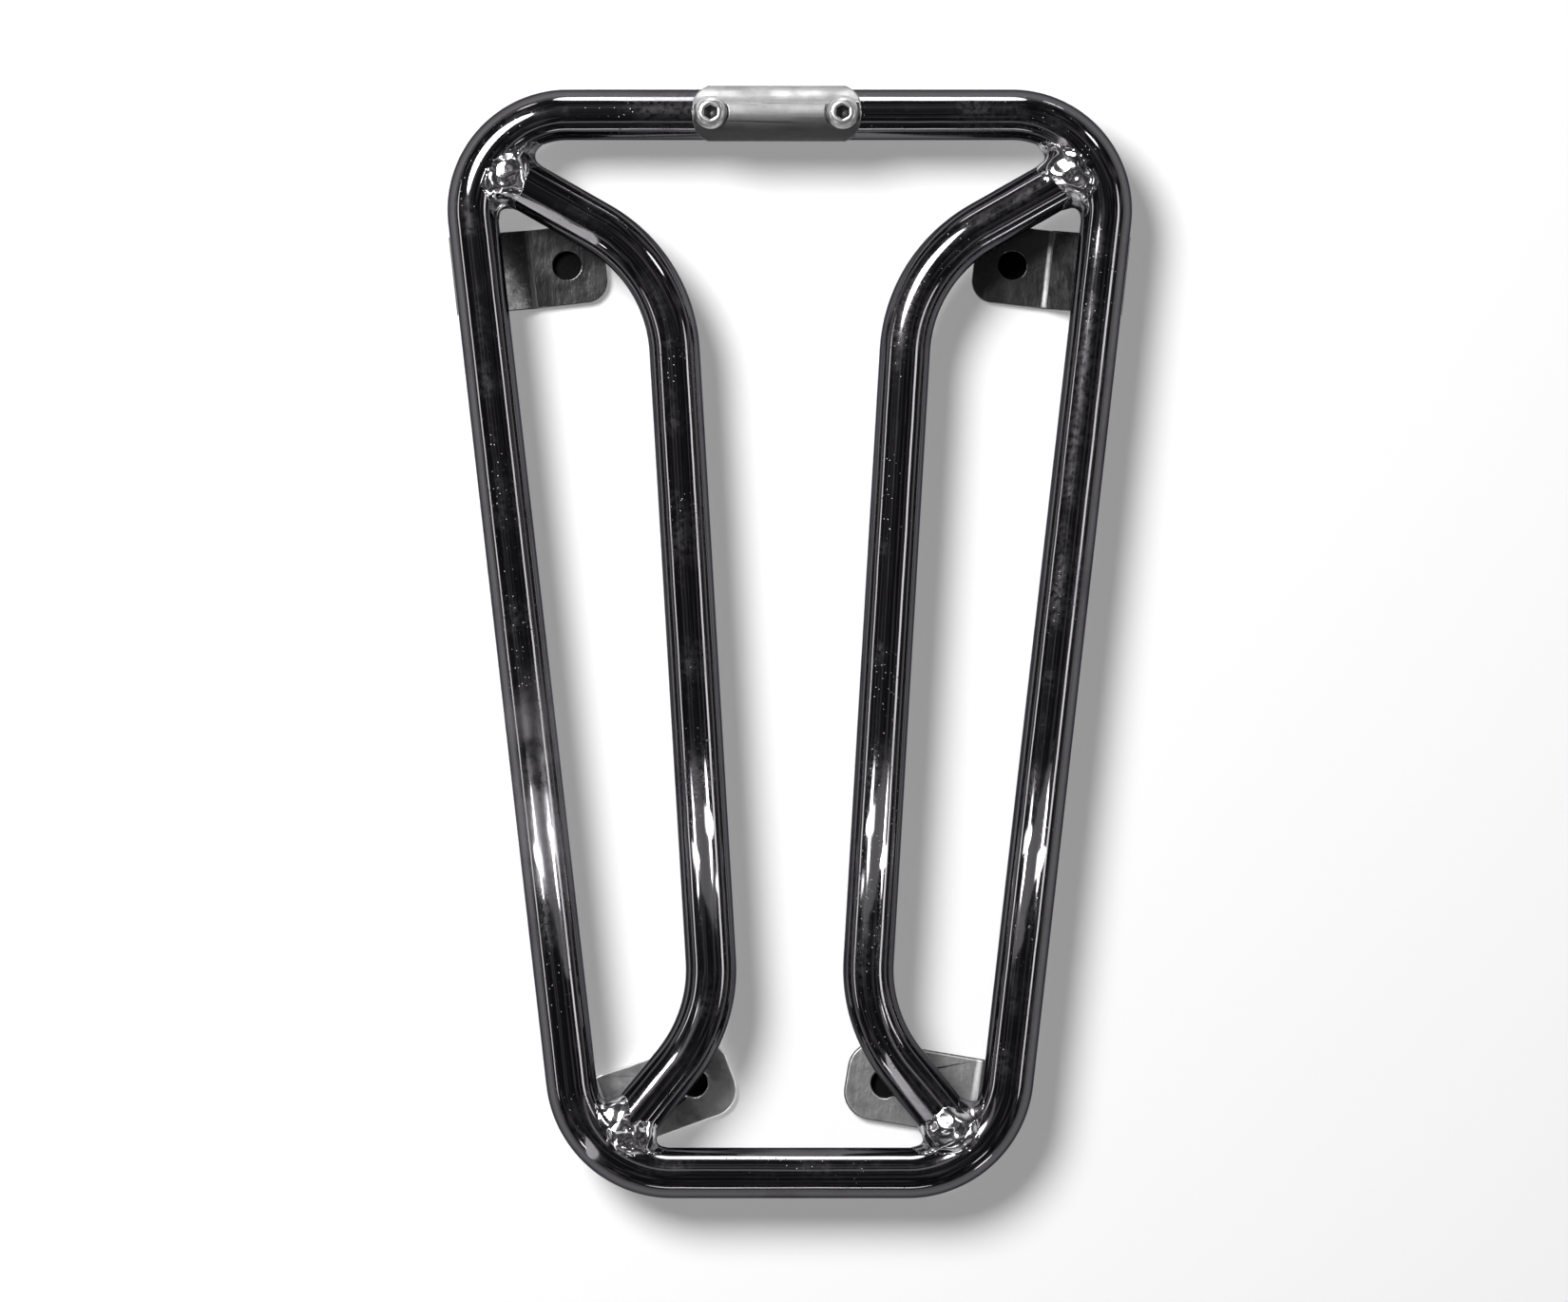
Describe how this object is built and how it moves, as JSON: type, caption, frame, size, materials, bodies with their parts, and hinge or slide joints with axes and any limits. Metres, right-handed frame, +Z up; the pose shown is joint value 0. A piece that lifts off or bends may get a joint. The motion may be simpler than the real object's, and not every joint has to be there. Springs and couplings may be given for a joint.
{
  "type": "motorcycle luggage rack",
  "caption": "Chrome-plated luggage rack of welded round tube: a tapered hoop with bent inner rails, folded tabs that bolt to a motorcycle's tail, and a curved badge plate.",
  "frame": {"origin": "below the middle of the hoop, on the plane of the tabs' undersides", "axes": "+Y to the rear, where the badge plate is; +Z up, away from the vehicle; +X to the right as the picture shows it"},
  "size_m": [0.2162, 0.3509, 0.0351],
  "materials": {
    "tube_chrome": "bright chrome plate with fine pits",
    "weld_chrome": "bright chrome plate over lumpy welds",
    "tab_chrome": "dull, clouded chrome plate",
    "badge_alloy": "satin, brushed along its length",
    "screw_steel": "bright plated"
  },
  "bodies": {
    "root": {"outer_hoop": "tube_chrome", "left_rail": "tube_chrome", "right_rail": "tube_chrome", "left_rail_welds": "weld_chrome", "right_rail_welds": "weld_chrome", "rear_left_tab": "tab_chrome", "rear_right_tab": "tab_chrome", "front_left_tab": "tab_chrome", "front_right_tab": "tab_chrome", "rear_left_tab_weld": "weld_chrome", "rear_right_tab_weld": "weld_chrome", "front_left_tab_weld": "weld_chrome", "front_right_tab_weld": "weld_chrome", "badge_plate": "badge_alloy", "left_badge_screw": "screw_steel", "right_badge_screw": "screw_steel"}
  },
  "joints": []
}
